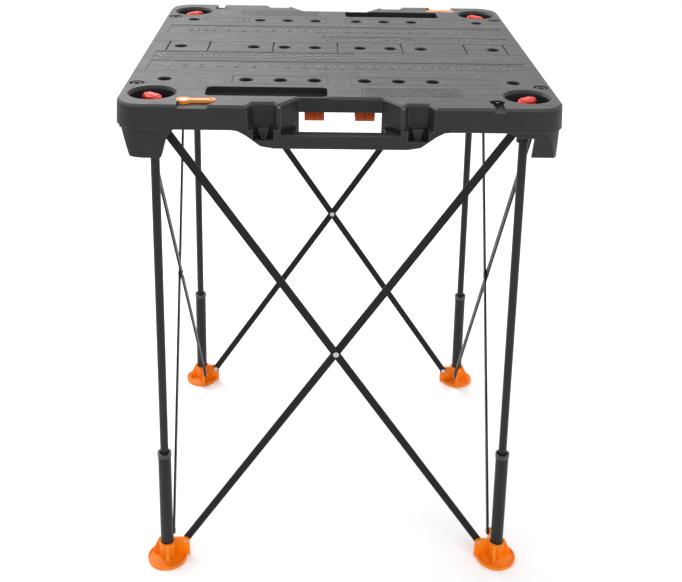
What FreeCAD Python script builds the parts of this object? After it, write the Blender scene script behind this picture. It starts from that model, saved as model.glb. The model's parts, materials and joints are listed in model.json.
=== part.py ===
import FreeCAD, Part
import math
import os

from FreeCAD import Placement, Rotation, Vector

# Folding work stand: a moulded worktop on four telescoping legs braced by four scissor pairs.
#
# Millimetres. +Z up, +X to the right, +Y to the back. The origin is on the floor under the middle
# of the worktop. The corner pieces are drawn at the front left corner (A) and turned by quarter
# turns about Z to the front right (B), back right (C) and back left (D) corners.

os.makedirs("parts", exist_ok=True)
doc = FreeCAD.newDocument("FoldingWorkStand")

# ---------------------------------------------------------------- driving dimensions
DIMENSIONS = [
    # worktop
    ("top_height", 812.8), ("top_width", 604), ("top_depth", 632), ("corner_round", 38),
    ("deck_thick", 4), ("wall", 3.5), ("skirt_height", 32.8), ("edge_chamfer", 3), ("flare", 3),
    ("middle_recess", 44), ("middle_half", 57), ("shoulder_half", 81), ("shoulder_recess", 10),
    ("notch_start", 90), ("notch_end", 118), ("notch_recess", 18), ("notch_slope", 8),
    ("middle_skirt", 20.8), ("handle_drop", 57.8), ("handle_high", 18.5), ("handle_deep", 14),
    ("bracket_half", 148), ("bracket_ease", 9), ("bracket_turn", 20), ("bracket_fall", 7),
    ("bracket_foot", 108), ("bracket_toe", 18), ("bracket_round", 3),
    ("catch_drop", 11), ("catch_inset", 6), ("catch_top_half", 8), ("catch_tip_half", 3),
    ("rib_thick", 2.5), ("rib_low", 792),
    # holes, trays and grooves in the worktop
    ("dog_radius", 9.5), ("dog_boss_radius", 12.5), ("dog_first", 36), ("dog_pitch", 49),
    ("dog_outer", 250.5), ("dog_row", 190), ("dog_depth", 21.8),
    ("eye_across", 286), ("eye_along", 212), ("eye_radius", 4.5), ("eye_island", 7), ("eye_ring", 10.5),
    ("eye_groove", 3), ("eye_boss", 13), ("eye_boss_high", 8),
    ("dog_chamfer", 1.2), ("rib_shift", 28),
    ("tray_near", 18), ("tray_far", 186), ("tray_low", 226), ("tray_high", 270), ("tray_depth", 10),
    ("tray_corner", 8),
    ("band_half", 285), ("band_depth", 0.8), ("ruler_low", 87), ("ruler_high", 146),
    ("panel_low", 35), ("panel_high", 75), ("panel_end", 25),
    ("slot_half", 31), ("slot_wide", 2.6), ("slot_depth", 2.6),
    ("slot_second", 103), ("slot_third", 205.5), ("slot_fourth", 270.5),
    ("groove_wide", 1.2), ("groove_depth", 0.9), ("pad_margin", 20), ("small_pad_half", 14),
    # corner cups and release buttons
    ("leg_top", 258), ("cup_radius", 30.5), ("cup_rim_radius", 33.5), ("cup_depth", 21),
    ("cup_floor", 2.8), ("guide_radius", 8), ("guide_high", 4.5), ("key_hole_radius", 4.15),
    ("stem_radius", 3.9), ("cap_radius", 10), ("cap_high", 13.6), ("cap_plate", 3.1), ("cap_wall", 2.5),
    ("wing_length", 36), ("wing_width", 14.5), ("wing_drop", 1.4), ("dome_high", 1.2), ("cap_gap", 0.4),
    ("press_travel", 4.9), ("crest_inset", 3), ("wing_chamfer_high", 3), ("wing_chamfer", 2.5),
    # tongues and lips hanging from the corners
    ("tongue_drop", 74), ("tongue_start", 6), ("tongue_end", 76), ("tongue_taper", 16),
    ("tongue_flange", 15), ("tongue_lean", 9), ("tongue_bend", 5), ("tongue_bend_high", 20),
    ("tongue_neck", 8), ("tongue_fillet", 4), ("tongue_tip", 2),
    ("corner_depth", 45), ("lip_drop", 41), ("lip_start", 30), ("lip_end", 70), ("lip_round", 3),
    ("lip_foot", 8), ("lip_fillet", 9),
    # hubs, plungers and springs
    ("hub_radius", 14), ("hub_high", 40.7), ("hub_neck", 9), ("hub_neck_high", 18), ("hub_gap", 0.3),
    ("hub_chamfer", 2), ("socket_deep", 17), ("socket_reach", 60), ("rivet_grip", 6),
    ("plunger_radius", 4), ("plunger_high", 12.3), ("lock_engage", -0.2), ("spring_high", 9.1),
    ("spring_radius", 3.2), ("spring_wire", 0.45), ("spring_turns", 4),
    ("spring_steps", 12), ("stop_thick", 4), ("stop_drop", 20), ("stop_half_angle", 28),
    # scissor bars and rivets
    ("pivot_across", 252), ("foot_across", 252), ("pivot_high", 781.5), ("pivot_low", 31),
    ("bar_plane", 274),
    ("bar_width", 12), ("bar_thick", 3), ("bar_gap", 0.15), ("rivet_radius", 2.5),
    ("rivet_head", 4.5), ("head_thick", 1.6), ("pin_play", 0.1), ("ear_radius", 6.5),
    # legs and feet
    ("leg_foot", 284), ("tube_radius", 6.5), ("tube_wall", 1.2), ("tube_low", 38),
    ("sleeve_radius", 10.5), ("sleeve_wall", 1.6), ("sleeve_low", 12), ("sleeve_high", 214.5),
    ("collar_radius", 11.4), ("collar_low", 211), ("collar_high", 218.5), ("collar_bore", 8.3),
    ("foot_radius", 33), ("foot_thick", 3), ("foot_dome", 4.5), ("foot_boss_radius", 13.2),
    ("foot_boss_high", 36), ("foot_play", 0.4), ("foot_rim", 5.6), ("foot_rim_wall", 2.2),
    ("lug_thick", 5.5), ("lug_radius", 6), ("wing_reach", 24), ("wing_end", 14),
    ("foot_brow", 2.5), ("foot_brow_out", 0.9), ("foot_room_long", 40), ("foot_room_deep", 12),
    ("foot_room_high", 60), ("foot_room_shift", 14),
    # connector links, storage clips and screws
    ("link_across", 212), ("link_along", 287), ("link_boss", 10), ("link_boss_high", 7),
    ("link_reach", 37.5), ("link_arm", 6.5), ("link_arm_high", 4.2), ("link_play", 0.4),
    ("link_pin", 3), ("link_head", 5), ("link_head_high", 1.8), ("hook_radius", 2.8),
    ("post_radius", 2.4), ("socket_depth", 6), ("link_floor_gap", 0.3),
    ("clip_across", 36), ("clip_along", 215), ("clip_width", 28), ("clip_ring", 14.5),
    ("clip_bore", 11), ("clip_low", 764), ("clip_base", 3), ("clip_ground", 791), ("clip_base_long", 30),
    ("clip_mouth_lip", 2.5), ("clip_groove", 1.6), ("screw_radius", 2), ("screw_head", 3.6),
    ("screw_grip", 5), ("screw_shift", 11),
]

sheet = doc.addObject("Spreadsheet::Sheet", "Sizes")
for row, (alias, value) in enumerate(DIMENSIONS, start=1):
    sheet.set("A%d" % row, alias.replace("_", " "))
    sheet.set("B%d" % row, str(value))
    sheet.setAlias("B%d" % row, alias)
doc.recompute()


def size(alias):
    """The number in the sheet's cell with this alias."""
    return float(sheet.get(alias))


# ---------------------------------------------------------------- building blocks
# Cuts run 1 mm past the faces they open, and joined pieces reach 1 mm into each other.
TOUCH = 0.01
WORD_START = "abcdefghijklmnopqrstuvwxyz"
ALIASES = sorted((alias for alias, _ in DIMENSIONS), key=len, reverse=True)
TURNS = {
    "X": Rotation(Vector(0, 1, 0), 90),
    "Y": Rotation(Vector(1, 0, 0), -90),
    "-Y": Rotation(Vector(1, 0, 0), 90),
    "-X": Rotation(Vector(0, 1, 0), -90),
    "Z": Rotation(),
}


def formula(text):
    """A sheet expression from a formula that uses bare aliases."""
    words = []
    word = ""
    for letter in str(text) + " ":
        if letter in WORD_START or letter == "_" or (word and letter.isalnum()):
            word += letter
            continue
        if word:
            words.append("Sizes." + word if word in ALIASES else word)
            word = ""
        words.append(letter)
    return "".join(words).strip()


def bind(item, properties, at=None, turn=None):
    """Bind an object's properties and its place to formulas of the sheet."""
    if turn is not None:
        item.Placement = Placement(Vector(), turn)
    for name, text in properties.items():
        item.setExpression(name, formula(text))
    if at is not None:
        for letter, text in zip("xyz", at):
            item.setExpression("Placement.Base." + letter, formula(text))
    return item


def box(length, width, height, at):
    item = doc.addObject("Part::Box", "Block")
    return bind(item, {"Length": length, "Width": width, "Height": height}, at)


def cylinder(radius, height, at, axis="Z"):
    item = doc.addObject("Part::Cylinder", "Round")
    return bind(item, {"Radius": radius, "Height": height}, at, TURNS[axis])


def cone(radius_low, radius_high, height, at, axis="Z"):
    item = doc.addObject("Part::Cone", "Taper")
    return bind(item, {"Radius1": radius_low, "Radius2": radius_high, "Height": height}, at, TURNS[axis])


def fuse(*items):
    if len(items) == 1:
        return items[0]
    item = doc.addObject("Part::MultiFuse", "Joined")
    item.Shapes = list(items)
    return item


def cut(base, *tools):
    item = doc.addObject("Part::Cut", "Trimmed")
    item.Base = base
    item.Tool = tools[0] if len(tools) == 1 else fuse(*tools)
    return item


def common(first, second):
    item = doc.addObject("Part::Common", "Shared")
    item.Base = first
    item.Tool = second
    return item


def plate(points, direction, length):
    """A prism on a flat outline of points, pushed out by a length formula."""
    outline = doc.addObject("Part::Feature", "Outline")
    outline.Shape = Part.Face(Part.makePolygon([Vector(*point) for point in points + points[:1]]))
    item = doc.addObject("Part::Extrusion", "Prism")
    item.Base = outline
    item.DirMode = "Custom"
    item.Dir = Vector(*direction)
    item.Solid = True
    return bind(item, {"LengthFwd": length})


PARTS = []


def name_part(item, label, quarter_turns=0):
    """Label a finished piece and turn it from corner A to its own corner."""
    item.Label = label
    item.Placement = Placement(Vector(), Rotation(Vector(0, 0, 1), 90 * quarter_turns))
    PARTS.append(item)
    return item


CORNERS = ["front_left", "front_right", "back_right", "back_left"]
SIDES = ["front", "right", "back", "left"]

# Two ends of a leg's axis at corner A.
LEG_TOP = Vector(-size("leg_top"), -size("leg_top"), size("pivot_high"))
LEG_FOOT = Vector(-size("leg_foot"), -size("leg_foot"), 0)
LEG_LINE = (LEG_TOP - LEG_FOOT).normalize()


def leg_point(height):
    """The point of the leg's axis at a height above the floor."""
    return LEG_FOOT + LEG_LINE * (height / LEG_LINE.z)


def leg_round(radius, low, high):
    """A cylinder along the leg's leaning axis between two heights, given as aliases or numbers."""
    low_height = size(low) if isinstance(low, str) else low
    high_height = size(high) if isinstance(high, str) else high
    item = doc.addObject("Part::Cylinder", "LegRound")
    item.Placement = Placement(leg_point(low_height), Rotation(Vector(0, 0, 1), LEG_LINE))
    item.Height = (high_height - low_height) / LEG_LINE.z
    return bind(item, {"Radius": radius})


# ---------------------------------------------------------------- worktop
def half_outline():
    """Front edge of the worktop from its middle to the right, then the round right corner."""
    half_width = size("top_width") / 2
    front = -size("top_depth") / 2
    round_by = size("corner_round")
    shoulder = front + size("shoulder_recess")
    notch = front + size("notch_recess")
    line = [
        Vector(size("middle_half"), front + size("middle_recess"), 0),
        Vector(size("shoulder_half"), shoulder, 0),
        Vector(size("notch_start") - size("notch_slope") / 2, shoulder, 0),
        Vector(size("notch_start"), notch, 0),
        Vector(size("notch_end"), notch, 0),
        Vector(size("notch_end") + size("notch_slope"), front, 0),
        Vector(half_width - round_by, front, 0),
    ]
    bend = round_by * (1 - math.sqrt(0.5))
    arc = (Vector(half_width - bend, front + bend, 0), Vector(half_width, front + round_by, 0))
    return line, arc


def mirrored(point, across, along):
    return Vector(point.x * across, point.y * along, 0)


def top_outline():
    """The worktop's plan outline as one closed wire on the floor."""
    line, (arc_middle, arc_end) = half_outline()
    edges = []
    for across, along in ((1, 1), (-1, 1), (1, -1), (-1, -1)):
        points = [mirrored(point, across, along) for point in line]
        edges += [Part.makeLine(first, second) for first, second in zip(points, points[1:])]
        end = mirrored(arc_end, across, along)
        edges.append(Part.Arc(points[-1], mirrored(arc_middle, across, along), end).toShape())
    for along in (1, -1):
        middle = mirrored(line[0], 1, along)
        edges.append(Part.makeLine(middle, mirrored(line[0], -1, along)))
    for across in (1, -1):
        edges.append(Part.makeLine(mirrored(arc_end, across, 1), mirrored(arc_end, across, -1)))
    return Part.Wire(Part.__sortEdges__(edges))


def plan_prism(wire, direction, length, start):
    """A prism on a plan wire, run up or down from a start height; both are formulas."""
    face = doc.addObject("Part::Feature", "PlanOutline")
    face.Shape = Part.Face(wire)
    item = doc.addObject("Part::Extrusion", "PlanPrism")
    item.Base = face
    item.DirMode = "Custom"
    item.Dir = Vector(0, 0, direction)
    item.Solid = True
    return bind(item, {"LengthFwd": length}, ("0", "0", start))


def flared_prism(length, high):
    """The plan outline at the upper height, widened downwards by the flare."""
    item = plan_prism(top_outline(), -1, length, high)
    return bind(item, {"TaperAngle": "atan(flare/(%s))" % length})


def outline_prism(inset, low, high):
    """The plan outline, drawn in by an inset, as a prism between two heights."""
    wire = top_outline()
    return plan_prism(wire.makeOffset2D(-inset) if inset else wire, 1, "(%s)-(%s)" % (high, low), low)


def turned(pieces, angle):
    """Pieces joined into one and turned about the vertical middle line."""
    holder = doc.addObject("Part::Compound", "Turned")
    holder.Links = [fuse(*pieces)]
    holder.Placement = Placement(Vector(), Rotation(Vector(0, 0, 1), angle))
    return holder


def both_ways(make):
    """A piece and its twin half a turn about the middle."""
    return [turned(make(), angle) for angle in (0, 180)]


def four_ways(make):
    """A corner feature at all four corners."""
    return [turned(make(), 90 * quarter) for quarter in range(4)]


def dog_places():
    """Across and along of each bench dog hole."""
    across = [size("dog_first") + step * size("dog_pitch") for step in range(3)] + [size("dog_outer")]
    return [(side * x, row * size("dog_row")) for row in (-1, 0, 1) for x in across for side in (-1, 1)]


def shell_blank():
    """Deck and skirt: the outline with a chamfered top edge, hollowed from below."""
    solid = flared_prism("skirt_height", "top_height")
    doc.recompute()
    chamfer = doc.addObject("Part::Chamfer", "TopEdge")
    chamfer.Base = solid
    reach = size("edge_chamfer")
    deck = size("top_height") - TOUCH
    edges = enumerate(solid.Shape.Edges, start=1)
    chamfer.Edges = [(number, reach, reach) for number, edge in edges if edge.BoundBox.ZMin > deck]
    hollow = outline_prism(size("wall"), "top_height-skirt_height-1", "top_height-deck_thick")
    return cut(chamfer, hollow)


def handle():
    """The front carry handle: a bar below the recessed middle, on a bracket at each end."""
    deck_front = -size("top_depth") / 2
    front = deck_front - size("flare")
    low = size("top_height") - size("handle_drop")
    skirt = size("top_height") - size("skirt_height")
    foot = size("bracket_foot")
    reach = size("bracket_half")
    grip_top = low + size("handle_high")
    wall = size("wall")
    half = size("middle_half")
    shoulder = size("shoulder_half")
    shoulder_front = deck_front + size("shoulder_recess")
    back = deck_front + size("middle_recess")
    # Half of the front view, from the outer end of a bracket to the bar.
    profile = [(reach, skirt), (reach - size("bracket_ease"), skirt - 1),
               (reach - size("bracket_turn"), skirt - size("bracket_fall")),
               (foot, low + size("bracket_round")), (foot - size("bracket_toe"), low)]
    face = [(-x, front, z) for x, z in profile] + [(x, front, z) for x, z in reversed(profile)]
    block = plate(face, (0, 1, 0), "middle_recess+wall+flare")
    # The grip's finger space, and the hollows behind the bar and inside the brackets.
    space = [(-half, back, grip_top), (-shoulder, shoulder_front, grip_top), (-shoulder, front - 1, grip_top),
             (shoulder, front - 1, grip_top), (shoulder, shoulder_front, grip_top), (half, back, grip_top)]
    tools = [plate(space, (0, 0, 1), "handle_drop"),
             box("2*(middle_half+wall)", "middle_recess", "handle_drop",
                 ("-middle_half-wall", "-top_depth/2+handle_deep", "top_height-handle_drop-1"))]
    for side in (-1, 1):
        inner, outer = side * (half + 2 * wall), side * (reach + 1)
        cavity = [(side * (shoulder + wall), front + wall, low - 1), (outer, front + wall, low - 1),
                  (outer, back + 3 * wall, low - 1), (inner, back + 3 * wall, low - 1),
                  (inner, back - 3 * wall, low - 1)]
        tools.append(plate(cavity, (0, 0, 1), "handle_drop-skirt_height"))
    return cut(block, *tools)


def notch_pocket(side):
    """Solid end of a bracket around the lower end of the notch beside the grip."""
    front = -size("top_depth") / 2 - size("flare")
    low = size("top_height") - size("handle_drop") + 1
    skirt = size("top_height") - size("skirt_height")
    start = size("notch_start") - size("wall")
    end = size("notch_end") + size("wall")
    foot = size("bracket_foot")
    face = [(side * start, front, low), (side * foot, front, low + size("bracket_round") - 1),
            (side * end, front, skirt - size("corner_depth") / 4), (side * end, front, skirt + 1),
            (side * start, front, skirt + 1)]
    return plate(face, (0, 1, 0), "notch_recess+wall+flare")


def notch_cut(side):
    """The notch carried down into the bracket, around a V shaped catch."""
    front = -size("top_depth") / 2 - size("flare") - 1
    start, end = size("notch_start"), size("notch_end")
    low = size("top_height") - size("handle_drop") + size("catch_drop")
    skirt = size("top_height") - size("skirt_height")
    middle = (start + end) / 2
    top_half, tip_half = size("catch_top_half"), size("catch_tip_half")
    room = [(side * start, front, low), (side * end, front, low), (side * end, front, skirt + 2),
            (side * start, front, skirt + 2)]
    catch = [(side * (middle - top_half), front, skirt + 3), (side * (middle + top_half), front, skirt + 3),
             (side * (middle + tip_half), front, low - 1), (side * (middle - tip_half), front, low - 1)]
    deep = plate(room, (0, 1, 0), "notch_recess+flare+1")
    stay = plate(catch, (0, 1, 0), "notch_recess+flare+2")
    stay_room = box("top_width", "catch_inset+flare+1", "handle_drop",
                    ("-top_width/2", "-top_depth/2-flare-1", "top_height-handle_drop"))
    return cut(deep, cut(stay, stay_room))


def middle_cut():
    """The recessed middle of the front edge has a shorter skirt, for the fingers."""
    return [box("2*middle_half", "3*wall+2*flare", "handle_drop",
                ("-middle_half", "-top_depth/2+middle_recess-2*flare",
                 "top_height-middle_skirt-handle_drop"))]


def finger_wall(side):
    """The slanted wall beside the grip, from the deck down to the bar."""
    front = -size("top_depth") / 2
    half = size("middle_half")
    shoulder = size("shoulder_half")
    back = front + size("middle_recess")
    low = size("top_height") - size("handle_drop")
    wall = size("wall")
    points = [(side * half, back, low), (side * shoulder, front + size("shoulder_recess"), low),
              (side * shoulder, front, low), (side * (shoulder + wall), front, low),
              (side * (shoulder + wall), front + size("shoulder_recess") + 1, low),
              (side * (half + wall + 1), back + wall, low), (side * half, back + wall, low)]
    return plate(points, (0, 0, 1), "handle_drop-deck_thick+1")


def corner_windows(half_across, half_along):
    """Front views of the tongue and the lip of a corner, as prisms through the corner's walls."""
    front = -half_along - 1
    left = -half_across - 1
    top = size("top_height")
    skirt = top - size("skirt_height")
    outer = -half_across + size("tongue_start")
    inner = -half_across + size("tongue_end")
    edge = inner - size("tongue_taper")
    tip = top - size("tongue_drop")
    lean, bend = size("tongue_lean"), size("tongue_bend")
    neck, fillet, point = size("tongue_neck"), size("tongue_fillet"), size("tongue_tip")
    tongue = [(outer - bend, front, skirt + 1), (outer, front, skirt - fillet),
              (outer + lean, front, tip + point), (outer + lean + point, front, tip),
              (edge - point, front, tip), (edge, front, tip + point),
              (edge + bend, front, tip + size("tongue_bend_high")), (inner - bend, front, skirt - neck),
              (inner + point, front, skirt - 1), (inner + fillet, front, skirt + 1)]
    low = top - size("lip_drop")
    start = -half_along + size("lip_start")
    end = -half_along + size("lip_end")
    soft = size("lip_round")
    lip = [(left, start, skirt + 1), (left, start, low), (left, end - size("lip_foot"), low),
           (left, end - soft, low + soft), (left, end + soft, skirt - point),
           (left, end + size("lip_fillet"), skirt + 1)]
    return [plate(tongue, (0, 1, 0), "corner_depth"), plate(lip, (1, 0, 0), "corner_depth")]


def tongue_flanges(half_across, half_along):
    """The tongue's edge walls, running back from its face."""
    front = -half_along
    skirt = size("top_height") - size("skirt_height")
    tip = size("top_height") - size("tongue_drop")
    wall = size("wall")
    lean, bend, bend_high = size("tongue_lean"), size("tongue_bend"), size("tongue_bend_high")
    neck, point = size("tongue_neck"), size("tongue_tip")
    inner = -half_across + size("tongue_end")
    edge = inner - size("tongue_taper")
    flange = [(edge - wall, front, tip), (edge, front, tip + point), (edge + bend, front, tip + bend_high),
              (inner - bend, front, skirt - neck), (inner, front, skirt + 1),
              (inner - wall - 1, front, skirt + 1), (inner - bend - wall, front, skirt - neck),
              (edge + bend - wall, front, tip + bend_high)]
    outer = -half_across + size("tongue_start")
    rear = [(outer + lean, front, tip + point), (outer + lean + point, front, tip),
            (outer + lean + point + wall, front, tip), (outer + wall, front, skirt + 1),
            (outer - point, front, skirt + 1)]
    return [plate(flange, (0, 1, 0), "tongue_flange"), plate(rear, (0, 1, 0), "corner_round")]


def corner_skirts():
    """Tongue and lip of every corner, cut from one wall that follows the plan outline below the skirt.

    At every second corner the long and short sides trade places.
    """
    skirt = "top_height-skirt_height+1"
    low = "top_height-tongue_drop-1"
    half_width, half_depth = size("top_width") / 2, size("top_depth") / 2
    windows, flanges = [], []
    for quarter in range(4):
        sizes = (half_width, half_depth) if quarter % 2 == 0 else (half_depth, half_width)
        windows.append(turned(corner_windows(*sizes), 90 * quarter))
        flanges.append(turned(tongue_flanges(*sizes), 90 * quarter))
    ring = cut(outline_prism(0, low, skirt), outline_prism(size("wall"), low + "-1", skirt + "+1"))
    return [common(ring, fuse(*windows)), common(outline_prism(0, low, skirt), fuse(*flanges))]


def cup_body():
    """Cup wall, guide boss and the stop wall that the hub meets at corner A."""
    centre = ("-leg_top", "-leg_top")
    floor_low = "top_height-cup_depth-cup_floor"
    bowl = cylinder("cup_radius+wall", "cup_depth+cup_floor-1", centre + (floor_low,))
    guide = cylinder("guide_radius", "cup_floor+guide_high", centre + (floor_low,))
    stop = doc.addObject("Part::Cylinder", "StopWall")
    stop.Placement = Placement(Vector(), Rotation(Vector(0, 0, 1), 225 - size("stop_half_angle")))
    bind(stop, {"Radius": "hub_radius+hub_gap+stop_thick", "Height": "stop_drop+1",
                "Angle": "2*stop_half_angle"},
         centre + ("top_height-cup_depth-cup_floor-stop_drop",))
    room = cylinder("hub_radius+hub_gap", "stop_drop", centre + ("top_height-cup_depth-cup_floor-stop_drop",))
    return bowl, guide, cut(stop, room)


def cup_cuts():
    """The open inside of the cup, its chamfered rim and the key hole through its floor."""
    centre = ("-leg_top", "-leg_top")
    bowl = cylinder("cup_radius", "cup_depth+1", centre + ("top_height-cup_depth",))
    rim_deep = "cup_rim_radius-cup_radius+1"
    rim = cone("cup_radius", "cup_rim_radius+1", rim_deep + "+1", centre + ("top_height-(%s)" % rim_deep,))
    hole = cylinder("key_hole_radius", "cup_depth+cup_floor+2",
                    centre + ("top_height-cup_depth-cup_floor-1",))
    return bowl, rim, hole


def rib(across, along, length, width):
    height = "top_height-rib_low-deck_thick+1"
    return box(str(length), str(width), height, (str(across), str(along), "rib_low"))


def ribs():
    """Stiffening ribs under the deck, clear of every hole."""
    thick = size("rib_thick")
    first, pitch = size("dog_first"), size("dog_pitch")
    reach = size("tray_low") - 1
    inside = size("top_width") / 2 - 1
    made = []
    between = (first + pitch / 2, first + pitch * 3 / 2, (first + 2 * pitch + size("dog_outer")) / 2)
    for place in between:
        for side in (-1, 1):
            made.append(rib(side * place - thick / 2, -reach, thick, 2 * reach))
    for place in (-2, -1, 1, 2):
        shift = 0 if abs(place) == 1 else size("rib_shift")
        along = place * size("dog_row") / 2 + math.copysign(shift, place)
        made.append(rib(-inside, along - thick / 2, 2 * inside, thick))
    return made


def tray_floor():
    """The wall of one tray, standing below the deck."""
    wall = "rib_thick"
    return [box("tray_far-tray_near+2*" + wall, "tray_high-tray_low+2*" + wall, "tray_depth+" + wall + "-1",
                ("-tray_far-" + wall, "-tray_high-" + wall, "top_height-tray_depth-" + wall))]


def tray_cut():
    """The open inside of one tray, with round corners."""
    length = "tray_far-tray_near"
    width = "tray_high-tray_low"
    floor = "top_height-tray_depth"
    pieces = [box(length + "-2*tray_corner", width, "tray_depth+1",
                  ("-tray_far+tray_corner", "-tray_high", floor)),
              box(length, width + "-2*tray_corner", "tray_depth+1",
                  ("-tray_far", "-tray_high+tray_corner", floor))]
    for x in ("-tray_far+tray_corner", "-tray_near-tray_corner"):
        for y in ("-tray_high+tray_corner", "-tray_low-tray_corner"):
            pieces.append(cylinder("tray_corner", "tray_depth+1", (x, y, floor)))
    return pieces


def groove(x_low, x_high, y_low, y_high, deep="groove_depth"):
    """A flat shallow cut in the deck between two corners in plan."""
    return box("%s-(%s)" % (x_high, x_low), "%s-(%s)" % (y_high, y_low), deep + "+1",
               (x_low, y_low, "top_height-" + deep))


def groove_frame(x_low, x_high, y_low, y_high):
    """Four grooves round a rectangle of the deck."""
    wide = "groove_wide"
    return [groove(x_low, x_high, y_low, "%s+%s" % (y_low, wide)),
            groove(x_low, x_high, "%s-%s" % (y_high, wide), y_high),
            groove(x_low, "%s+%s" % (x_low, wide), y_low, y_high),
            groove("%s-%s" % (x_high, wide), x_high, y_low, y_high)]


def deck_marks():
    """Ruler band, tread panel, pad frames and half of the cross slots on the front half."""
    last_dog = "dog_first+2*dog_pitch"
    low, high = "-dog_row-pad_margin", "-dog_row+pad_margin"
    marks = [
        groove("-band_half", "band_half", "-ruler_high", "-ruler_low", "band_depth"),
        groove("-band_half", "panel_end", "-panel_high", "-panel_low", "band_depth"),
        groove("-band_half", "band_half", "-slot_half-groove_wide", "-slot_half"),
    ]
    marks += groove_frame("-%s-pad_margin" % last_dog.replace("+", "-"), "-dog_first+pad_margin", low, high)
    marks += groove_frame("dog_first-pad_margin", last_dog + "+pad_margin", low, high)
    marks += groove_frame(last_dog + "+pad_margin+6", "dog_outer-pad_margin",
                          "-dog_row-small_pad_half", "-dog_row+small_pad_half")
    marks += groove_frame("tray_near+12", "tray_far-16", "-tray_high+3", "-tray_low-1")
    for place in ("slot_second", "slot_third", "slot_fourth"):
        marks.append(groove(place + "-slot_wide/2", place + "+slot_wide/2", "-slot_half", "slot_half",
                            "slot_depth"))
    return marks


def link_seat():
    """Solid ground under one connector link and under one socket."""
    return [box("link_reach+4*link_boss", "top_depth/2-link_along+2*link_boss", "link_boss_high+wall-1",
                ("-link_across-link_boss-4", "-top_depth/2+wall/2", "top_height-link_boss_high-wall")),
            box("4*link_boss", "top_depth/2-link_along+2*link_boss", "link_boss_high+wall-1",
                ("link_across-2*link_boss", "-top_depth/2+wall/2", "top_height-link_boss_high-wall"))]


def link_seat_cuts():
    """Room for a connector link to lie, swing and reach out, and the socket for a neighbour's link."""
    centre = ("-link_across", "-link_along")
    arm_floor = "top_height-link_arm_high-link_floor_gap"
    room_high = "link_arm_high+link_floor_gap+1"
    swing = doc.addObject("Part::Cylinder", "SwingRoom")
    swing.Angle = 90
    swing.Placement = Placement(Vector(), Rotation(Vector(0, 0, 1), -90))
    bind(swing, {"Radius": "link_reach+link_arm+link_play", "Height": room_high}, centre + (arm_floor,))
    boss = cylinder("link_boss+link_play", "link_boss_high+link_floor_gap+1",
                    centre + ("top_height-link_boss_high-link_floor_gap",))
    arm = box("link_reach", "2*(link_arm+link_play)", room_high,
              ("-link_across", "-link_along-link_arm-link_play", arm_floor))
    arm_end = cylinder("link_arm+link_play", room_high, ("-link_across+link_reach", "-link_along", arm_floor))
    arm_out = box("2*(link_arm+link_play)", "link_reach", room_high,
                  ("-link_across-link_arm-link_play", "-link_along-link_reach", arm_floor))
    pin_hole = cylinder("link_pin", "link_boss_high+wall", centre + ("top_height-link_boss_high-wall+1",))
    socket = ("link_across", "-link_along")
    ring = cylinder("link_boss+link_play", "link_boss_high", socket + ("top_height-socket_depth",))
    gate = box("2*(link_arm+link_play)", "top_depth/2", "link_boss_high",
               ("link_across-link_arm-link_play", "-link_along-top_depth/2", "top_height-socket_depth"))
    post = cylinder("post_radius", "link_boss_high+2", socket + ("top_height-socket_depth-1",))
    return [fuse(swing, boss, arm, arm_end, arm_out, pin_hole), cut(fuse(ring, gate), post)]


def clip_screw_places():
    """Across and along of each clip screw, either side of both clips' rings."""
    return [("%d*clip_across" % side, "-clip_along+%d*screw_shift" % end)
            for side in (-1, 1) for end in (-1, 1)]


def clip_screw_holes():
    """Blind holes in the pads under the deck that take the clip screws."""
    return [cylinder("screw_radius", "screw_grip+2", place + ("clip_ground-1",))
            for place in clip_screw_places()]


def make_worktop():
    solids = [shell_blank()]
    solids += both_ways(lambda: [handle(), finger_wall(-1), finger_wall(1)])
    solids += both_ways(lambda: [notch_pocket(-1), notch_pocket(1)])
    solids += four_ways(cup_body)
    solids += corner_skirts()
    for x, y in dog_places():
        solids.append(cylinder("dog_boss_radius", "dog_depth-1", (str(x), str(y), "top_height-dog_depth")))
    for x in ("-eye_across", "eye_across"):
        for y in ("-eye_along", "eye_along"):
            solids.append(cylinder("eye_boss", "eye_boss_high-1", (x, y, "top_height-eye_boss_high")))
    solids += ribs()
    solids += both_ways(tray_floor)
    solids += both_ways(link_seat)
    for side in (-1, 1):
        across = "%d*clip_across" % side
        solids.append(box("clip_width+6", "clip_base_long+4", "top_height-tray_depth-1-clip_ground",
                          (across + "-clip_width/2-3", "-clip_along-clip_base_long/2-2", "clip_ground")))
    tools = four_ways(cup_cuts)
    for x, y in dog_places():
        tools.append(cylinder("dog_radius", "dog_depth+2", (str(x), str(y), "top_height-dog_depth-1")))
        tools.append(cone("dog_radius", "dog_radius+dog_chamfer", "dog_chamfer",
                          (str(x), str(y), "top_height-dog_chamfer+0.1")))
    for x in ("-eye_across", "eye_across"):
        for y in ("-eye_along", "eye_along"):
            tools.append(cylinder("eye_radius", "eye_boss_high+2", (x, y, "top_height-eye_boss_high-1")))
            tools.append(cut(cylinder("eye_ring", "eye_groove+1", (x, y, "top_height-eye_groove")),
                             cylinder("eye_island", "eye_groove-0.6", (x, y, "top_height-eye_groove"))))
    tools += both_ways(middle_cut)
    tools += both_ways(lambda: [notch_cut(-1)])
    tools += both_ways(lambda: [notch_cut(1)])
    tools += both_ways(tray_cut)
    tools += both_ways(deck_marks)
    tools.append(groove("-slot_wide/2", "slot_wide/2", "-slot_half", "slot_half", "slot_depth"))
    tools += both_ways(link_seat_cuts)
    tools += clip_screw_holes()
    return name_part(cut(fuse(*solids), *tools), "worktop")


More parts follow.
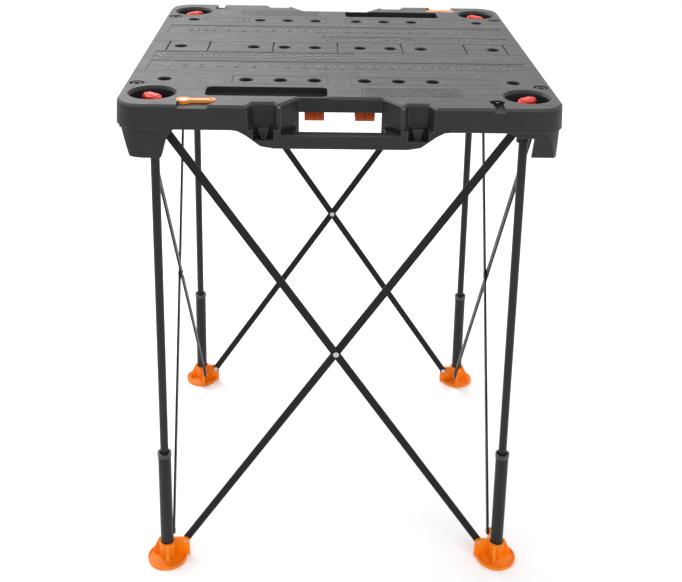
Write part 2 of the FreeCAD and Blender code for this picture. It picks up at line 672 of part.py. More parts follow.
# ---------------------------------------------------------------- corner pieces
def make_button(corner, quarter):
    """Red release button: a tall cap with two wings and a stem down into the key hole."""
    centre = ("-leg_top", "-leg_top")
    base = "top_height-cup_depth+press_travel+cap_gap"
    across = Rotation(Vector(0, 0, 1), -45)
    middle = Vector(-size("leg_top"), -size("leg_top"), 0)
    reach = (size("wing_length") - size("wing_width")) / 2
    offset = across.multVec(Vector(-reach, -size("wing_width") / 2, 0))
    height = size("top_height") - size("cup_depth") + size("press_travel") + size("cap_gap")
    wing = box("wing_length-wing_width", "wing_width", "cap_high-wing_drop", None)
    wing.Placement = Placement(middle + offset + Vector(0, 0, height), across)
    crest = box("wing_length-wing_width", "wing_width-2*crest_inset", "cap_high-wing_drop+dome_high", None)
    crest_offset = across.multVec(Vector(-reach, size("crest_inset") - size("wing_width") / 2, 0))
    crest.Placement = Placement(middle + crest_offset + Vector(0, 0, height), across)
    ends = []
    for side in (-1, 1):
        place = middle + across.multVec(Vector(side * reach, 0, 0))
        spot = (str(place.x), str(place.y))
        shoulder = "cap_high-wing_drop-wing_chamfer_high"
        ends.append(cylinder("wing_width/2", shoulder, spot + (base,)))
        ends.append(cone("wing_width/2", "wing_width/2-wing_chamfer", "wing_chamfer_high",
                         spot + (base + "+" + shoulder,)))
    cap = cylinder("cap_radius", "cap_high-2", centre + (base,))
    hollow = cylinder("cap_radius-cap_wall", "cap_high-cap_plate-2", centre + (base,))
    stem_low = "top_height-cup_depth-cup_floor+lock_engage+0.2"
    stem = cylinder("stem_radius", "press_travel+cup_floor+cap_high-lock_engage-2", centre + (stem_low,))
    name_part(fuse(cut(fuse(cap, wing, crest, *ends), hollow), stem), "button_" + corner, quarter)


def make_hub(corner, quarter):
    """Black corner hub: it holds the leg tube, the lock plunger and two scissor bars."""
    centre = ("-leg_top", "-leg_top")
    top = "top_height-cup_depth-cup_floor-hub_gap"
    body = cylinder("hub_radius", "hub_high-hub_neck_high-hub_chamfer",
                    centre + (top + "-hub_high+hub_neck_high",))
    neck = cylinder("hub_neck", "hub_neck_high+1", centre + (top + "-hub_high",))
    crown = cone("hub_radius", "hub_radius-hub_chamfer", "hub_chamfer", centre + (top + "-hub_chamfer",))
    front_ear = cylinder("ear_radius", "bar_plane-leg_top-0.1",
                         ("-pivot_across", "-leg_top", "pivot_high"), "-Y")
    left_ear = cylinder("ear_radius", "bar_plane-leg_top-bar_thick-0.4",
                        ("-leg_top", "-pivot_across", "pivot_high"), "-X")
    bore = cylinder("key_hole_radius", "hub_high-socket_deep-2", centre + (top + "-hub_high+socket_deep+2",))
    socket = leg_round("tube_radius+foot_play", size("pivot_high") - size("socket_reach"),
                       hub_low() + size("socket_deep"))
    inside = "-leg_top-rivet_grip"
    front_pin = cylinder("rivet_radius", "bar_plane", ("-pivot_across", inside, "pivot_high"), "-Y")
    left_pin = cylinder("rivet_radius", "bar_plane", (inside, "-pivot_across", "pivot_high"), "-X")
    flat = box("hub_radius", "2*hub_radius+2", "hub_high+2",
               ("-bar_plane+bar_thick+0.4-hub_radius", "-leg_top-hub_radius-1", top + "-hub_high-1"))
    hub = cut(fuse(body, neck, crown, front_ear, left_ear), bore, socket, front_pin, left_pin, flat)
    name_part(hub, "hub_" + corner, quarter)


def hub_low():
    """Height of the hub's lower end."""
    top = size("top_height") - size("cup_depth") - size("cup_floor") - size("hub_gap")
    return top - size("hub_high")


def make_hub_rivets(corner, quarter):
    """The two rivets that hold scissor bars on a hub's ears, heads outside."""
    front = fuse(
        cylinder("rivet_radius", "bar_plane-leg_top-rivet_grip+bar_thick+bar_gap+0.2",
                 ("-pivot_across", "-leg_top-rivet_grip", "pivot_high"), "-Y"),
        cylinder("rivet_head", "head_thick",
                 ("-pivot_across", "-bar_plane-bar_thick-bar_gap-0.1", "pivot_high"), "-Y"))
    left = fuse(
        cylinder("rivet_radius", "bar_plane-leg_top-rivet_grip-bar_gap+0.2",
                 ("-leg_top-rivet_grip", "-pivot_across", "pivot_high"), "-X"),
        cylinder("rivet_head", "head_thick", ("-bar_plane+bar_gap-0.1", "-pivot_across", "pivot_high"), "-X"))
    pair = doc.addObject("Part::Compound", "RivetPair")
    pair.Links = [front, left]
    name_part(pair, "hub_rivets_" + corner, quarter)


def make_plunger(corner, quarter):
    """Lock plunger in the hub: it rises into the worktop's key hole and locks the leg out."""
    centre = ("-leg_top", "-leg_top")
    tip = "top_height-cup_depth-cup_floor+lock_engage"
    pin = cylinder("plunger_radius", "plunger_high-1", centre + (tip + "-plunger_high",))
    nose = cone("plunger_radius", "plunger_radius-1", "1", centre + (tip + "-1",))
    name_part(fuse(pin, nose), "lock_plunger_" + corner, quarter)


def make_spring(corner, quarter):
    """Coil spring under the plunger, as wire sections joined along the helix."""
    wire, radius = size("spring_wire"), size("spring_radius")
    height = size("spring_high") - 2 * wire
    low = size("top_height") - size("cup_depth") - size("cup_floor") + size("lock_engage")
    low -= size("plunger_high") + size("spring_high") + 0.1
    centre = Vector(-size("leg_top"), -size("leg_top"), low + wire)
    steps = int(size("spring_turns") * size("spring_steps"))
    climb = height / (2 * math.pi * size("spring_turns"))
    sections = []
    for step in range(steps + 1):
        angle = 2 * math.pi * step / size("spring_steps")
        out = Vector(math.cos(angle), math.sin(angle), 0)
        ahead = Vector(-math.sin(angle) * radius, math.cos(angle) * radius, climb)
        place = centre + out * radius + Vector(0, 0, height * step / steps)
        sections.append(Part.Wire(Part.makeCircle(wire, place, ahead)))
    coil = Part.makeLoft(sections, True, True)
    coil.rotate(Vector(), Vector(0, 0, 1), 90 * quarter)
    item = doc.addObject("Part::Feature", "Coil")
    item.Shape = coil
    item.Label = "lock_spring_" + corner
    PARTS.append(item)


def make_tube(corner, quarter):
    """Upper leg tube."""
    top = hub_low() + size("socket_deep") - 0.5
    tube = cut(leg_round("tube_radius", "tube_low", top),
               leg_round("tube_radius-tube_wall", size("tube_low") - 1, top - 3))
    name_part(tube, "upper_tube_" + corner, quarter)


def make_sleeve(corner, quarter):
    """Lower leg sleeve that the tube slides in."""
    sleeve = cut(leg_round("sleeve_radius", "sleeve_low", "sleeve_high"),
                 leg_round("sleeve_radius-sleeve_wall", size("sleeve_low") + 3, size("sleeve_high") + 1))
    name_part(sleeve, "lower_sleeve_" + corner, quarter)


def make_collar(corner, quarter):
    """Collar pressed over the sleeve's mouth."""
    collar = cut(leg_round("collar_radius", "collar_low", "collar_high"),
                 leg_round("sleeve_radius", size("collar_low") - 1, "sleeve_high"),
                 leg_round("collar_bore", size("sleeve_high") - 1, size("collar_high") + 1))
    name_part(collar, "sleeve_collar_" + corner, quarter)


def make_foot(corner, quarter):
    """Orange foot: a rimmed disc with a socket for the sleeve, crossed by two walls that end in lugs."""
    centre = ("-leg_foot", "-leg_foot")
    disc = cylinder("foot_radius", "foot_rim", centre + ("0",))
    dish = cylinder("foot_radius-foot_rim_wall", "foot_rim", centre + ("foot_thick",))
    dome = cone("foot_radius-6", "foot_boss_radius+2", "foot_dome", centre + ("foot_thick",))
    boss = leg_round("foot_boss_radius", 1, "foot_boss_high")
    brow = leg_round("foot_boss_radius+foot_brow_out", size("foot_boss_high") - size("foot_brow"),
                     "foot_boss_high")
    # One wall in its own view: out to a sloping wing, in to the lug around the bar's pivot.
    leg, pivot = size("leg_foot"), size("foot_across")
    low, high = size("foot_thick") - 1, size("pivot_low")
    crest = high + size("lug_radius")
    tip = leg + size("wing_reach")
    view = [(-tip, low), (-tip, size("wing_end")), (-leg - size("foot_boss_radius"), crest), (-pivot, crest),
            (-pivot, high), (size("lug_radius") - pivot, high), (size("lug_radius") - pivot, low)]
    # Front wall: outside the inner bar of the front pair. Left wall: outside the outer bar of the left pair.
    front_face = "-bar_plane+bar_gap-0.3"
    left_face = "-bar_plane-bar_thick-bar_gap-0.3"
    front_at = -size("bar_plane") + size("bar_gap") - 0.3
    left_at = -size("bar_plane") - size("bar_thick") - size("bar_gap") - 0.3
    front_wall = fuse(plate([(x, front_at, z) for x, z in view], (0, -1, 0), "lug_thick"),
                      cylinder("lug_radius", "lug_thick", ("-foot_across", front_face, "pivot_low"), "-Y"))
    left_wall = fuse(plate([(left_at, x, z) for x, z in view], (-1, 0, 0), "lug_thick"),
                     cylinder("lug_radius", "lug_thick", (left_face, "-foot_across", "pivot_low"), "-X"))
    socket = leg_round("sleeve_radius+foot_play", size("sleeve_low") - 0.4, size("foot_boss_high") + 30)
    inside = "-bar_plane+foot_room_deep"
    front_pin = cylinder("rivet_radius", "bar_plane", ("-foot_across", inside, "pivot_low"), "-Y")
    left_pin = cylinder("rivet_radius", "bar_plane", (inside, "-foot_across", "pivot_low"), "-X")
    start = "-foot_across-foot_room_shift"
    front_room = box("foot_room_long", "foot_room_deep", "foot_room_high", (start, front_face, "foot_rim+1"))
    left_room = box("foot_room_deep", "foot_room_long", "foot_room_high", (left_face, start, "foot_rim+1"))
    foot = cut(fuse(cut(disc, dish), cylinder("foot_radius-1", "foot_thick", centre + ("0",)),
                    cut(fuse(dome, boss, brow), front_room, left_room), front_wall, left_wall),
               socket, front_pin, left_pin)
    name_part(foot, "foot_" + corner, quarter)


def make_foot_rivets(corner, quarter):
    """The two rivets that hold scissor bars on a foot's lugs, heads on the inside."""
    front_face = "-bar_plane+bar_gap-0.3-lug_thick"
    left_face = "-bar_plane-bar_thick-bar_gap-0.3-lug_thick"
    shank = "lug_thick+bar_thick+0.5"
    front = fuse(
        cylinder("rivet_radius", shank, ("-foot_across", front_face, "pivot_low"), "Y"),
        cylinder("rivet_head", "head_thick", ("-foot_across", front_face + "+" + shank, "pivot_low"), "Y"))
    left = fuse(
        cylinder("rivet_radius", shank, (left_face, "-foot_across", "pivot_low"), "X"),
        cylinder("rivet_head", "head_thick", (left_face + "+" + shank, "-foot_across", "pivot_low"), "X"))
    pair = doc.addObject("Part::Compound", "RivetPair")
    pair.Links = [front, left]
    name_part(pair, "foot_rivets_" + corner, quarter)


# ---------------------------------------------------------------- scissor pairs
def bar(layer_low, slope, middle_hole):
    """A flat bar of the front pair between two corners; slope is its sign in X as it drops."""
    foot, high, low = size("foot_across"), size("pivot_high"), size("pivot_low")
    spread = size("pivot_across") + foot
    run = math.hypot(spread, high - low)
    lean = math.degrees(math.atan2(spread, high - low))
    blank = fuse(
        box("bar_width", "bar_thick", str(run), ("-bar_width/2", "0", "0")),
        cylinder("bar_width/2", "bar_thick", ("0", "0", "0"), "Y"),
        cylinder("bar_width/2", "bar_thick", ("0", "0", str(run)), "Y"))
    tools = [cylinder(radius, "3*bar_thick", ("0", "-bar_thick", str(height)), "Y")
             for radius, height in (("rivet_radius+pin_play", 0), (middle_hole, run * foot / spread),
                                    ("rivet_radius+pin_play", run))]
    item = cut(blank, *tools)
    item.Placement = Placement(Vector(slope * foot, layer_low, low), Rotation(Vector(0, 1, 0), -slope * lean))
    return item


def make_pair(side, quarter):
    """Outer and inner bar of one side, with the rivet through their crossing."""
    plane, gap, thick = size("bar_plane"), size("bar_gap"), size("bar_thick")
    outer = doc.addObject("Part::Compound", "OuterBar")
    outer.Links = [bar(-plane - gap - thick, 1, "rivet_radius")]
    name_part(outer, "outer_bar_" + side, quarter)
    inner = doc.addObject("Part::Compound", "InnerBar")
    inner.Links = [bar(-plane + gap, -1, "rivet_radius+pin_play")]
    name_part(inner, "inner_bar_" + side, quarter)
    middle = "pivot_low+(pivot_high-pivot_low)*foot_across/(pivot_across+foot_across)"
    shank = "2*bar_thick+2*bar_gap+0.2"
    start = "-bar_plane-bar_gap-bar_thick-0.1"
    rivet = fuse(
        cylinder("rivet_radius", shank, ("0", start, middle), "Y"),
        cylinder("rivet_head", "head_thick", ("0", start + "-head_thick", middle), "Y"),
        cylinder("rivet_head", "head_thick", ("0", start + "+" + shank, middle), "Y"))
    name_part(rivet, "crossing_rivet_" + side, quarter)


# ---------------------------------------------------------------- links and clips
def make_link(label, quarter):
    """Connector link: a boss on the worktop's edge with an arm to hook a neighbour."""
    centre = ("-link_across", "-link_along")
    arm_low = "top_height-link_arm_high"
    boss = cylinder("link_boss", "link_boss_high", centre + ("top_height-link_boss_high",))
    arm = box("link_reach", "2*link_arm-2", "link_arm_high",
              ("-link_across", "-link_along-link_arm+1", arm_low))
    end = cylinder("link_arm", "link_arm_high", ("-link_across+link_reach", "-link_along", arm_low))
    pin_hole = cylinder("link_pin+pin_play", "link_boss_high+2", centre + ("top_height-link_boss_high-1",))
    head_room = cylinder("link_head+0.3", "3", centre + ("top_height-2.3",))
    hook_hole = cylinder("hook_radius", "link_arm_high+2",
                         ("-link_across+link_reach", "-link_along", arm_low + "-1"))
    link = cut(fuse(boss, arm, end), pin_hole, head_room, hook_hole)
    name_part(link, label, quarter)


def make_link_pivots():
    """Shoulder screws of both links."""
    pair = doc.addObject("Part::Compound", "LinkScrews")
    centre = ("-link_across", "-link_along")
    pair.Links = both_ways(lambda: [fuse(
        cylinder("link_pin", "link_boss_high+wall-2.2", centre + ("top_height-link_boss_high-wall+1",)),
        cylinder("link_head", "link_head_high", centre + ("top_height-2.1",)))])
    name_part(pair, "link_pivots")


def make_clip(label, side):
    """Storage clip under the deck: a ring open below, on a screwed base."""
    across = "%d*clip_across" % side
    left = across + "-clip_width/2"
    ring_high = "clip_low+clip_ring-3"
    base = box("clip_width", "clip_base_long", "clip_base",
               (left, "-clip_along-clip_base_long/2", "clip_ground-clip_base"))
    ring = cylinder("clip_ring", "clip_width", (left, "-clip_along", ring_high), "X")
    bore = cylinder("clip_bore", "clip_width+2", (left + "-1", "-clip_along", ring_high), "X")
    mouth = box("clip_width+2", "2*(clip_bore-clip_mouth_lip)", "clip_ring+2",
                (left + "-1", "-clip_along-clip_bore+clip_mouth_lip", ring_high + "-clip_ring-2"))
    trim = box("clip_width+2", "4*clip_ring", "clip_ring",
               (left + "-1", "-clip_along-2*clip_ring", "clip_low-clip_ring"))
    front_groove = box("clip_groove", "4*clip_ring", "clip_ring+4",
                       (across + "-clip_groove/2", "-clip_along-4*clip_ring-clip_bore-1.5",
                        ring_high + "-clip_ring-2"))
    holes = [cylinder("screw_radius", "clip_base+2", place + ("clip_ground-clip_base-1",))
             for place in clip_screw_places() if place[0] == across]
    name_part(cut(fuse(base, ring), bore, mouth, trim, front_groove, *holes), label)


def make_clip_screws():
    """Screws of both storage clips, heads below the base."""
    group = doc.addObject("Part::Compound", "ClipScrews")
    group.Links = [fuse(
        cylinder("screw_radius", "clip_base+screw_grip", place + ("clip_ground-clip_base",)),
        cylinder("screw_head", "head_thick", place + ("clip_ground-clip_base-head_thick",)))
        for place in clip_screw_places()]
    name_part(group, "clip_screws")


make_worktop()
for quarter, corner in enumerate(CORNERS):
    make_button(corner, quarter)
    make_hub(corner, quarter)
    make_hub_rivets(corner, quarter)
    make_plunger(corner, quarter)
    make_spring(corner, quarter)
    make_tube(corner, quarter)
    make_sleeve(corner, quarter)
    make_collar(corner, quarter)
    make_foot(corner, quarter)
    make_foot_rivets(corner, quarter)
for quarter, side in enumerate(SIDES):
    make_pair(side, quarter)
make_link("link_front", 0)
make_link("link_back", 2)
make_link_pivots()
make_clip("storage_clip_left", -1)
make_clip("storage_clip_right", 1)
make_clip_screws()

doc.recompute()
failed = [item.Label for item in doc.Objects if set(item.State) & {"Invalid", "Error"}]
if failed:
    raise RuntimeError("failed objects: " + ", ".join(failed))
for item in PARTS:
    if item.Shape.isNull() or not item.Shape.isValid():
        raise RuntimeError("bad shape: " + item.Label)
for item in PARTS:
    item.Shape.exportStep("parts/%s.step" % item.Label)
    print("%-28s solids %d volume %.1f cm3" % (item.Label, len(item.Shape.Solids), item.Shape.Volume / 1000))
print(len(PARTS), "nodes")
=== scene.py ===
"""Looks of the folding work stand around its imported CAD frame. Metres, +Z up, row frame."""

import json
import math

import bpy
from mathutils import Matrix, Vector


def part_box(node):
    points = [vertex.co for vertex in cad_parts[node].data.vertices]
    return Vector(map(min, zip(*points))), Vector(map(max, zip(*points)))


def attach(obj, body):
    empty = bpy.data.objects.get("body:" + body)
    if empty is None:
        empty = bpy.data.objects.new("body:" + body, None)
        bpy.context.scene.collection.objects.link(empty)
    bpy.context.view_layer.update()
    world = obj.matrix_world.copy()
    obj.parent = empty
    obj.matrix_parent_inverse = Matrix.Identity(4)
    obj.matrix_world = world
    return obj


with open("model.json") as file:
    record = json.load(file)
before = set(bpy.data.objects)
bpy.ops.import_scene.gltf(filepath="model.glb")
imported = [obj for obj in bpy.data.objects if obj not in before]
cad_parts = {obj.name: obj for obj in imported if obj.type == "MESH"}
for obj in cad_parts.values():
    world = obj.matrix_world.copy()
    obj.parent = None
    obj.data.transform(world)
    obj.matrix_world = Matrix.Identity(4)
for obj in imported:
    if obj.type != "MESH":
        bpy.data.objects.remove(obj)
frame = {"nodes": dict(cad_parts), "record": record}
NODES = frame["nodes"]
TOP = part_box("worktop")[1].z
MM = 0.001
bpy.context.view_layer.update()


# ------------------------------------------------------------------ materials
def add_node(tree, kind, **values):
    """A node with its input sockets set by name, underscores standing for spaces."""
    node = tree.nodes.new(kind)
    for name, value in values.items():
        node.inputs[name.replace("_", " ")].default_value = value
    return node


def link_all(tree, pairs):
    for source, target in pairs:
        tree.links.new(source, target)


def edge_mask(tree, rounded):
    """Share of the painted edge highlight: zero on flat faces, one along the edges that the rounded normal bends
    over.
    """
    geometry = tree.nodes.new("ShaderNodeNewGeometry")
    agree = tree.nodes.new("ShaderNodeVectorMath")
    agree.operation = "DOT_PRODUCT"
    mask = add_node(tree, "ShaderNodeMapRange", From_Min=0.995, From_Max=0.8)
    link_all(tree, (
        (rounded.outputs["Normal"], agree.inputs[0]),
        (geometry.outputs["True Normal"], agree.inputs[1]),
        (agree.outputs["Value"], mask.inputs["Value"]),
    ))
    return mask.outputs["Result"]


def mixed(tree, share, low, high):
    """A colour between two, by a share; each is a colour or the output of another node."""
    mix = tree.nodes.new("ShaderNodeMix")
    mix.data_type = "RGBA"
    tree.links.new(share, mix.inputs[0])
    for value, socket in ((low, mix.inputs[6]), (high, mix.inputs[7])):
        if isinstance(value, tuple):
            socket.default_value = (*value, 1)
        else:
            tree.links.new(value, socket)
    return mix.outputs[2]


def clouds(tree, stretch, scale, low, high):
    """Slow variation of a share, stretched along the object's axes."""
    place = tree.nodes.new("ShaderNodeTexCoord")
    spread = add_node(tree, "ShaderNodeMapping", Scale=stretch)
    noise = add_node(tree, "ShaderNodeTexNoise", Scale=scale, Detail=7.0, Roughness=0.65)
    level = add_node(tree, "ShaderNodeMapRange", From_Min=0.3, From_Max=0.7, To_Min=low, To_Max=high)
    link_all(tree, (
        (place.outputs["Object"], spread.inputs["Vector"]),
        (spread.outputs["Vector"], noise.inputs["Vector"]),
        (noise.outputs["Fac"], level.inputs["Value"]),
    ))
    return level.outputs["Result"]


def deck_share(tree, depth):
    """Share of the painted lit colour: one on faces that look up near the deck's own height; zero on sides, in
    pockets and below, which keep the darker base colour.
    """
    geometry = tree.nodes.new("ShaderNodeNewGeometry")
    facing = tree.nodes.new("ShaderNodeSeparateXYZ")
    height = tree.nodes.new("ShaderNodeSeparateXYZ")
    up = add_node(tree, "ShaderNodeMapRange", From_Min=0.5, From_Max=0.95)
    near_top = add_node(tree, "ShaderNodeMapRange", From_Min=TOP - depth, From_Max=TOP - 0.3 * depth)
    both = tree.nodes.new("ShaderNodeMath")
    both.operation = "MULTIPLY"
    link_all(tree, (
        (geometry.outputs["Normal"], facing.inputs[0]),
        (geometry.outputs["Position"], height.inputs[0]),
        (facing.outputs["Z"], up.inputs["Value"]),
        (height.outputs["Z"], near_top.inputs["Value"]),
        (up.outputs["Result"], both.inputs[0]),
        (near_top.outputs["Result"], both.inputs[1]),
    ))
    return both.outputs[0]


def math_node(tree, operation, *values):
    """A sum, product or comparison of numbers and other nodes' outputs."""
    node = tree.nodes.new("ShaderNodeMath")
    node.operation = operation
    for value, socket in zip(values, node.inputs):
        if isinstance(value, (int, float)):
            socket.default_value = value
        else:
            tree.links.new(value, socket)
    return node.outputs[0]


def hatch(tree, across, along):
    """Share of painted shade in diagonal hatch bands inside one rectangle of the deck and its twin half a turn
    about the middle, standing in for the moulded hatch relief.
    """
    place = tree.nodes.new("ShaderNodeTexCoord")
    apart = tree.nodes.new("ShaderNodeSeparateXYZ")
    wave = add_node(tree, "ShaderNodeTexWave", Scale=42.0, Distortion=0.0)
    wave.bands_direction = "DIAGONAL"
    link_all(tree, (
        (place.outputs["Object"], apart.inputs[0]),
        (place.outputs["Object"], wave.inputs["Vector"]),
    ))
    windows = []
    for turn in (1, -1):
        pair = []
        for axis, (low, high) in (("X", across), ("Y", along)):
            middle, half = turn * (low + high) / 2 * MM, (high - low) / 2 * MM
            pair.append(math_node(tree, "COMPARE", apart.outputs[axis], middle, half))
        windows.append(math_node(tree, "MULTIPLY", *pair))
    window = math_node(tree, "ADD", *windows)
    return math_node(tree, "MULTIPLY", window, wave.outputs["Fac"])


def surface(name, colour, rough, edge_highlight_colour=None, grain=0.15, grain_scale=900.0, edge=0.0006, metal=0.0,
            shine=0.5, mottle=0.08, vary=0.17, lit_deck_colour=None):
    """A finish with fine grain, mottled gloss, slow colour variation and rounded edges lightened by a painted
    highlight; a lit deck colour adds a painted lit top with streaks and painted shade in hatch bands.
    """
    made = bpy.data.materials.new(name)
    made.use_nodes = True
    tree = made.node_tree
    shader = tree.nodes["Principled BSDF"]
    shader.inputs["Metallic"].default_value = metal
    shader.inputs["Specular IOR Level"].default_value = shine
    place = tree.nodes.new("ShaderNodeTexCoord")
    fine = add_node(tree, "ShaderNodeTexNoise", Scale=grain_scale, Detail=3.0)
    bump = add_node(tree, "ShaderNodeBump", Strength=grain, Distance=0.0005)
    rounded = tree.nodes.new("ShaderNodeBevel")
    rounded.inputs["Radius"].default_value = edge
    light = tuple(min(1.0, part * (1 + vary)) for part in colour)
    dark = tuple(part * (1 - vary) for part in colour)
    shade = mixed(tree, clouds(tree, (1, 1, 1), 24.0, 0, 1), dark, light)
    # painted light: the deck top gets a lighter lit copy of the colour, with stretched streaks for scratches,
    # fading out on sides and in pockets
    if lit_deck_colour:
        light = tuple(part * 1.45 for part in lit_deck_colour)
        dark = tuple(part * 0.6 for part in lit_deck_colour)
        lit_deck_streaks = mixed(tree, clouds(tree, (9, 200, 9), 1.0, 0, 1), dark, light)
        shade = mixed(tree, deck_share(tree, 0.004), shade, lit_deck_streaks)
        # painted shade: the hatch bands fall back to the darker base colour
        hatch_shade = hatch(tree, GRIP_ACROSS, GRIP_ALONG)
        shade = mixed(tree, hatch_shade, shade, colour)
    # painted highlight: the lighter edge colour is mixed in along the rounded edges
    if edge_highlight_colour:
        shade = mixed(tree, edge_mask(tree, rounded), shade, edge_highlight_colour)
    link_all(tree, (
        (shade, shader.inputs["Base Color"]),
        (clouds(tree, (1, 1, 1), 45.0, rough - mottle, rough + mottle), shader.inputs["Roughness"]),
        (place.outputs["Object"], fine.inputs["Vector"]),
        (fine.outputs["Fac"], bump.inputs["Height"]),
        (rounded.outputs["Normal"], bump.inputs["Normal"]),
        (bump.outputs["Normal"], shader.inputs["Normal"]),
    ))
    return made


GRIP_ACROSS = (33, 167)
GRIP_ALONG = (-265, -229)
SLOTS = {
    # sides in the base colour; the lighter lit deck colour on the top is painted light
    "worktop_plastic": surface("TopPlastic", (0.017, 0.017, 0.018), 0.5, (0.14, 0.14, 0.14), grain=0.5,
                               grain_scale=1300, edge=0.0012, shine=0.25, lit_deck_colour=(0.070, 0.070, 0.072)),
    "hub_plastic": surface("HubPlastic", (0.008, 0.008, 0.009), 0.45, (0.05, 0.05, 0.05), shine=0.3),
    "tube_steel": surface("TubePaint", (0.011, 0.012, 0.013), 0.42, (0.05, 0.05, 0.05), grain=0.2,
                          grain_scale=1600, edge=0.0003, shine=0.25),
    "bar_steel": surface("BarPaint", (0.010, 0.010, 0.011), 0.46, (0.04, 0.04, 0.04), grain=0.2,
                         grain_scale=1600, edge=0.0003, shine=0.15),
    "foot_plastic": surface("FootPlastic", (0.86, 0.20, 0.002), 0.34, (0.98, 0.36, 0.02), edge=0.0009, shine=0.25),
    "button_plastic": surface("ButtonPlastic", (0.74, 0.018, 0.012), 0.33, (0.95, 0.16, 0.11), grain=0.05,
                              edge=0.0012, shine=0.35),
    "link_plastic": surface("LinkPlastic", (0.76, 0.27, 0.04), 0.42, (0.95, 0.50, 0.16), edge=0.0008),
    # painted shade: the clips' orange is darkened to brown for the shadow they sit in
    "clip_plastic": surface("ClipPlastic", (0.31, 0.040, 0.002), 0.45, (0.48, 0.10, 0.015), grain=0.35,
                            grain_scale=400, shine=0.12),
    "collar_plastic": surface("CollarPlastic", (0.030, 0.031, 0.033), 0.35, (0.12, 0.12, 0.12)),
    "rivet_steel": surface("RivetSteel", (0.50, 0.50, 0.51), 0.34, (0.75, 0.75, 0.75), grain=0.05, metal=1.0,
                           edge=0.0003),
}
for row in frame["record"]["subparts"]:
    node = NODES[row["node"]]
    node.data.materials.clear()
    node.data.materials.append(SLOTS[row["material_slot"]])


# ------------------------------------------------------------------ moulded relief on the deck
RELIEF_LOW = TOP - 0.82 * MM
RELIEF_HIGH = TOP - 0.12 * MM
INCH = 25.4
RULER_MIDDLE = -116.5
RULER_LOW, RULER_HIGH = -145.0, -88.0
HALF_RULER = 279.4
WORN = surface("WornTopPlastic", (0.15, 0.15, 0.152), 0.5, (0.22, 0.22, 0.22), grain=0.5, grain_scale=1300,
               edge=0.0003, shine=0.25)


def prism(corners, vertices, faces, draft=0.3):
    """Adds one flat raised block on plan corners, in millimetres, narrower at its top."""
    start = len(vertices)
    count = len(corners)
    centre = sum((Vector(c) for c in corners), Vector((0, 0))) / count
    for height, shrink in ((RELIEF_LOW, 0.0), (RELIEF_HIGH, draft)):
        for corner in corners:
            point = Vector(corner)
            inward = centre - point
            if inward.length:
                point = point + inward.normalized() * shrink
            vertices.append((point.x * MM, point.y * MM, height))
    for step in range(count):
        ahead = (step + 1) % count
        faces.append((start + step, start + ahead, start + count + ahead, start + count + step))
    faces.append(tuple(range(start + count, start + 2 * count)))
    faces.append(tuple(reversed(range(start, start + count))))


def strip(first, second, width):
    """Plan corners of a strip between two points."""
    first, second = Vector(first), Vector(second)
    side = (second - first).normalized()
    side = Vector((-side.y, side.x)) * (width / 2)
    return [first - side, second - side, second + side, first + side]


def relief(name, blocks):
    """One mesh of raised blocks on the deck, and its twin half a turn about the middle."""
    vertices, faces = [], []
    for corners in blocks:
        prism(corners, vertices, faces)
    mesh = bpy.data.meshes.new(name)
    mesh.from_pydata(vertices, [], faces)
    mesh.materials.append(WORN)
    for label, angle in (("Front", 0), ("Back", math.pi)):
        piece = bpy.data.objects.new(name + label, mesh)
        bpy.context.scene.collection.objects.link(piece)
        piece.rotation_euler.z = angle
        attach(piece, "worktop")


def ruler_ticks():
    """Eighth inch ticks along both edges of the ruler band; longer at halves and whole inches."""
    blocks = []
    steps = int(2 * HALF_RULER / INCH * 8 + 0.5)
    for step in range(steps + 1):
        x = -HALF_RULER + step * INCH / 8
        length = 9.0 if step % 8 == 0 else 6.5 if step % 4 == 0 else 4.0
        width = 1.1 if step % 8 == 0 else 0.8
        blocks.append(strip((x, RULER_LOW + 1), (x, RULER_LOW + 1 + length), width))
        blocks.append(strip((x, RULER_HIGH - 1), (x, RULER_HIGH - 1 - length), width))
    return blocks


def chevrons(left, right, low, high, pitch, width):
    """Slanted tread strips in a panel, leaning one way in its lower half and the other in its upper half."""
    middle = (low + high) / 2
    lean = (high - low) / 2 - 1
    blocks = []
    x = left
    while x + lean < right:
        blocks.append(strip((x + lean, low), (x, middle - 0.6), width))
        blocks.append(strip((x, middle + 0.6), (x + lean, high), width))
        x += pitch
    return blocks


def dashes(left, right, low, high, rows, length, gap):
    """Rows of short raised dashes, every second row shifted by half a step."""
    blocks = []
    for line in range(rows):
        y = low + (high - low) * (line + 0.5) / rows
        x = left + (length + gap) / 2 * (line % 2)
        while x + length < right:
            blocks.append(strip((x, y), (x + length, y), (high - low) / rows * 0.5))
            x += length + gap
    return blocks


def ruler_numbers():
    """Plain inch numbers along both rulers, moulded like the ticks."""
    for count in range(1, int(2 * HALF_RULER / INCH)):
        for label, turn in (("Front", 0.0), ("Back", math.pi)):
            text = bpy.data.curves.new("RulerText", "FONT")
            text.body = str(count)
            text.size = 0.023
            text.align_x = "CENTER"
            text.align_y = "CENTER"
            text.extrude = (RELIEF_HIGH - RELIEF_LOW) / 2
            text.resolution_u = 3
            text.materials.append(WORN)
            piece = bpy.data.objects.new("RulerNumber%s%02d" % (label, count), text)
            bpy.context.scene.collection.objects.link(piece)
            spot = Vector(((-HALF_RULER + count * INCH) * MM, RULER_MIDDLE * MM, (RELIEF_HIGH + RELIEF_LOW) / 2))
            piece.location = Matrix.Rotation(turn, 3, "Z") @ spot
            piece.rotation_euler.z = turn
            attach(piece, "worktop")


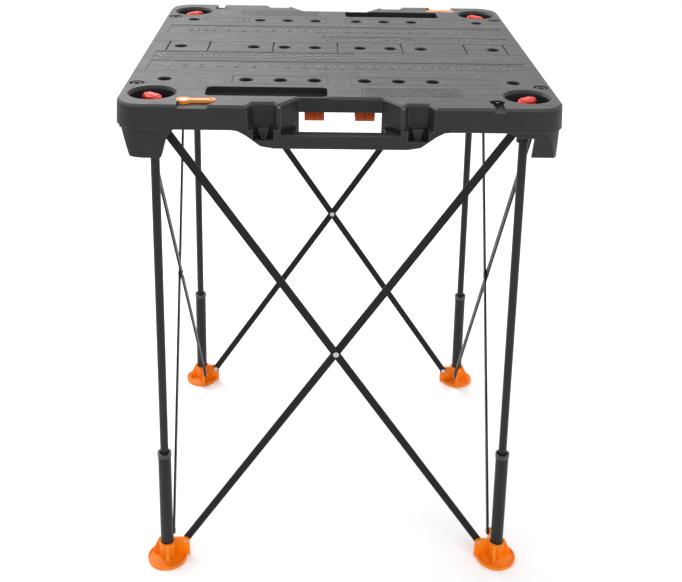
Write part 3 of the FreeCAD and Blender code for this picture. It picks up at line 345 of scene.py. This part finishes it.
relief("RulerTicks", ruler_ticks())
ruler_numbers()
relief("TreadPanel", chevrons(-281, -120, -72, -38, 9, 3.2) + dashes(-112, 20, -73, -37, 4, 11, 4))


# ------------------------------------------------------------------ floor, lights and camera
CAMERA_PLACE = (-0.0317, -1.5883, 1.2072)
CAMERA_PITCH = 0.4841
CAMERA_YAW = -0.0285
CAMERA_ROLL = -0.0209
LENS = 52.26


def make_floor():
    bpy.ops.mesh.primitive_plane_add(size=16, location=(0, 0, -0.0005))
    floor = bpy.context.object
    floor.name = "Floor"
    floor.data.materials.append(surface("Floor", (0.96, 0.96, 0.96), 0.8, grain=0.02, shine=0.1, vary=0.01))


def soft_light(name, place, target, size, power):
    data = bpy.data.lights.new(name, "AREA")
    data.shape = "RECTANGLE"
    data.size, data.size_y = size
    data.energy = power
    lamp = bpy.data.objects.new(name, data)
    bpy.context.scene.collection.objects.link(lamp)
    lamp.location = place
    lamp.rotation_euler = (Vector(target) - Vector(place)).to_track_quat("-Z", "Y").to_euler()


def make_world(level):
    world = bpy.data.worlds.new("Studio")
    world.use_nodes = True
    background = world.node_tree.nodes["Background"]
    background.inputs["Color"].default_value = (1, 1, 1, 1)
    background.inputs["Strength"].default_value = level
    bpy.context.scene.world = world


def make_camera():
    data = bpy.data.cameras.new("Camera")
    data.lens = LENS
    data.sensor_width = 36
    data.clip_start, data.clip_end = 0.05, 50
    camera = bpy.data.objects.new("Camera", data)
    bpy.context.scene.collection.objects.link(camera)
    turn = (Matrix.Rotation(CAMERA_YAW, 4, "Z") @ Matrix.Rotation(math.pi / 2 - CAMERA_PITCH, 4, "X")
            @ Matrix.Rotation(-CAMERA_ROLL, 4, "Z"))
    camera.matrix_world = Matrix.Translation(CAMERA_PLACE) @ turn
    bpy.context.scene.camera = camera


make_floor()
make_world(1.05)
soft_light("Key", (-0.9, 1.3, 2.4), (0, 0, 0.8), (2.0, 1.6), 45)
soft_light("Fill", (1.5, -2.2, 1.5), (0, 0, 0.4), (1.4, 1.4), 8)
make_camera()
bpy.context.scene.view_settings.view_transform = "Standard"
